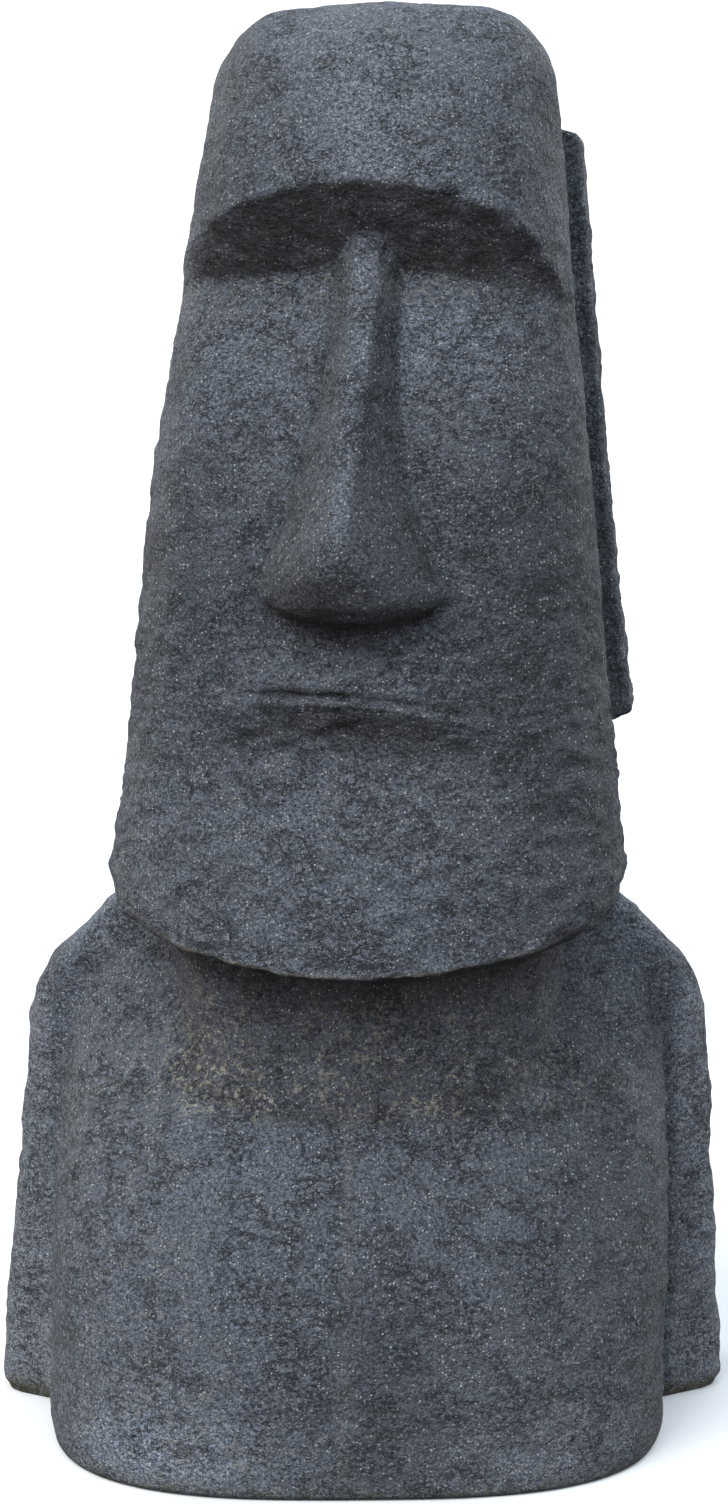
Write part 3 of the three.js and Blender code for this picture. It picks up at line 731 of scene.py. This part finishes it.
lich_n = math("MULTIPLY", ramp(tex_noise(240, 4, 0.75), 0.50, 0.60), ramp(tex_noise(46, 3, 0.6), 0.38, 0.60))
base = mix(math("MULTIPLY", math("MULTIPLY", ramp(mask("lichen"), 0.0, 0.9, False), lich_n), 0.9), base, (0.36, 0.345, 0.27))
moss_n = math("MULTIPLY", mask("moss"), ramp(tex_noise(110, 4, 0.65), 0.35, 0.6))
base = mix(math("MULTIPLY", moss_n, 0.75), base, (0.10, 0.10, 0.040))
base = mix(math("MULTIPLY", mask("pale"), 0.5), base, (0.26, 0.23, 0.18))

rough = math("ADD", math("MULTIPLY", ramp(blotch, 0.3, 0.7), 0.18), 0.58)

relief_h = math("ADD", math("MULTIPLY", tex_noise(300, 4, 0.68), 1.3), math("MULTIPLY", tex_noise(120, 3, 0.6), 1.1))
relief_h = math("ADD", relief_h, math("MULTIPLY", grit, 0.30))
relief_h = math("SUBTRACT", relief_h, math("MULTIPLY", pit, 0.4))
relief_h = math("SUBTRACT", relief_h, math("MULTIPLY", ledge, 0.20))
relief_h = math("SUBTRACT", relief_h, math("MULTIPLY", rift, 0.30))
relief_h = math("ADD", relief_h, math("MULTIPLY", speck, 0.2))
bump = node("ShaderNodeBump")
bump.inputs["Strength"].default_value = 1.0
bump.inputs["Distance"].default_value = 0.0044
T.links.new(relief_h, bump.inputs["Height"])

shader = node("ShaderNodeBsdfPrincipled")
shader.inputs["Specular IOR Level"].default_value = 0.42
T.links.new(base, shader.inputs["Base Color"])
T.links.new(rough, shader.inputs["Roughness"])
T.links.new(bump.outputs[0], shader.inputs["Normal"])
out = node("ShaderNodeOutputMaterial")
T.links.new(shader.outputs[0], out.inputs["Surface"])
mesh.materials.append(mat)

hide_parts("moai_statue")
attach(statue, "root")

# =====================================================================
# Floor, light, camera
# =====================================================================
scene = bpy.context.scene
scene.view_settings.view_transform = "Standard"

floor_mesh = bpy.data.meshes.new("floor")
S = 60.0
floor_mesh.from_pydata([(-S, -S, 0), (S, -S, 0), (S, S, 0), (-S, S, 0)], [], [(0, 1, 2, 3)])
floor = bpy.data.objects.new("floor", floor_mesh)
scene.collection.objects.link(floor)
fm = bpy.data.materials.new("floor")
fm.use_nodes = True
fb = fm.node_tree.nodes["Principled BSDF"]
fb.inputs["Base Color"].default_value = (0.80, 0.80, 0.79, 1)
fb.inputs["Roughness"].default_value = 0.9
fb.inputs["Specular IOR Level"].default_value = 0.1
floor_mesh.materials.append(fm)
floor.visible_diffuse = False
floor.visible_glossy = False

world = bpy.data.worlds.new("studio")
scene.world = world
world.use_nodes = True
WT = world.node_tree
bg = WT.nodes["Background"]
wc = WT.nodes.new("ShaderNodeTexCoord")
ws = WT.nodes.new("ShaderNodeSeparateXYZ")
WT.links.new(wc.outputs["Generated"], ws.inputs[0])
wr = WT.nodes.new("ShaderNodeValToRGB")
wr.color_ramp.interpolation = "EASE"
els = wr.color_ramp.elements
els[0].position, els[0].color = 0.0, (0.05, 0.05, 0.055, 1)
els[1].position, els[1].color = 1.0, (0.72, 0.80, 0.92, 1)
for pos, col in ((0.462, (0.05, 0.05, 0.055, 1)), (0.478, (1.0, 1.0, 1.0, 1)), (0.575, (1.0, 1.0, 1.0, 1)), (0.68, (0.68, 0.75, 0.86, 1))):
    e = els.new(pos)
    e.color = col
wm = WT.nodes.new("ShaderNodeMath")
wm.operation = "MULTIPLY_ADD"
wm.inputs[1].default_value = 0.5
wm.inputs[2].default_value = 0.5
WT.links.new(ws.outputs["Z"], wm.inputs[0])
WT.links.new(wm.outputs[0], wr.inputs[0])
WT.links.new(wr.outputs[0], bg.inputs[0])
bg.inputs[1].default_value = 1.22


def sun(azimuth, elevation, strength, angle, colour):
    data = bpy.data.lights.new("sun", "SUN")
    data.energy = strength
    data.angle = radians(angle)
    data.color = colour
    ob = bpy.data.objects.new("sun", data)
    scene.collection.objects.link(ob)
    a, e = radians(azimuth), radians(elevation)
    direction = Vector((cos(e) * sin(a), -cos(e) * cos(a), sin(e)))
    ob.rotation_euler = direction.to_track_quat("Z", "Y").to_euler()
    ob.location = direction * 4
    return ob


sun(-45, 46, 2.05, 36, (1.0, 0.97, 0.93))
sun(0, 48, 1.15, 50, (0.80, 0.90, 1.0))
sun(-125, 22, 0.6, 50, (1.0, 1.0, 0.96))
sun(125, 22, 0.7, 50, (0.95, 1.0, 1.0))

cam_data = bpy.data.cameras.new("camera")
cam_data.sensor_fit = "VERTICAL"
cam_data.sensor_height = 36
cam_data.lens = 2705.9 / 1504 * 36
cam_data.clip_start = 0.05
cam_data.clip_end = 200
camera = bpy.data.objects.new("camera", cam_data)
scene.collection.objects.link(camera)
a, p = radians(-1.0), radians(7.878)
place = Vector((1.9 * sin(a) - box_mid[0] / 1000, -1.9 * cos(a) - box_mid[1] / 1000, 0.750))
fwd = Vector((-sin(a) * cos(p), cos(a) * cos(p), -sin(p)))
right = Vector((cos(a), sin(a), 0))
up = right.cross(fwd)
camera.matrix_world = Matrix(((right.x, up.x, -fwd.x, place.x), (right.y, up.y, -fwd.y, place.y), (right.z, up.z, -fwd.z, place.z), (0, 0, 0, 1)))
scene.camera = camera

bpy.context.view_layer.update()
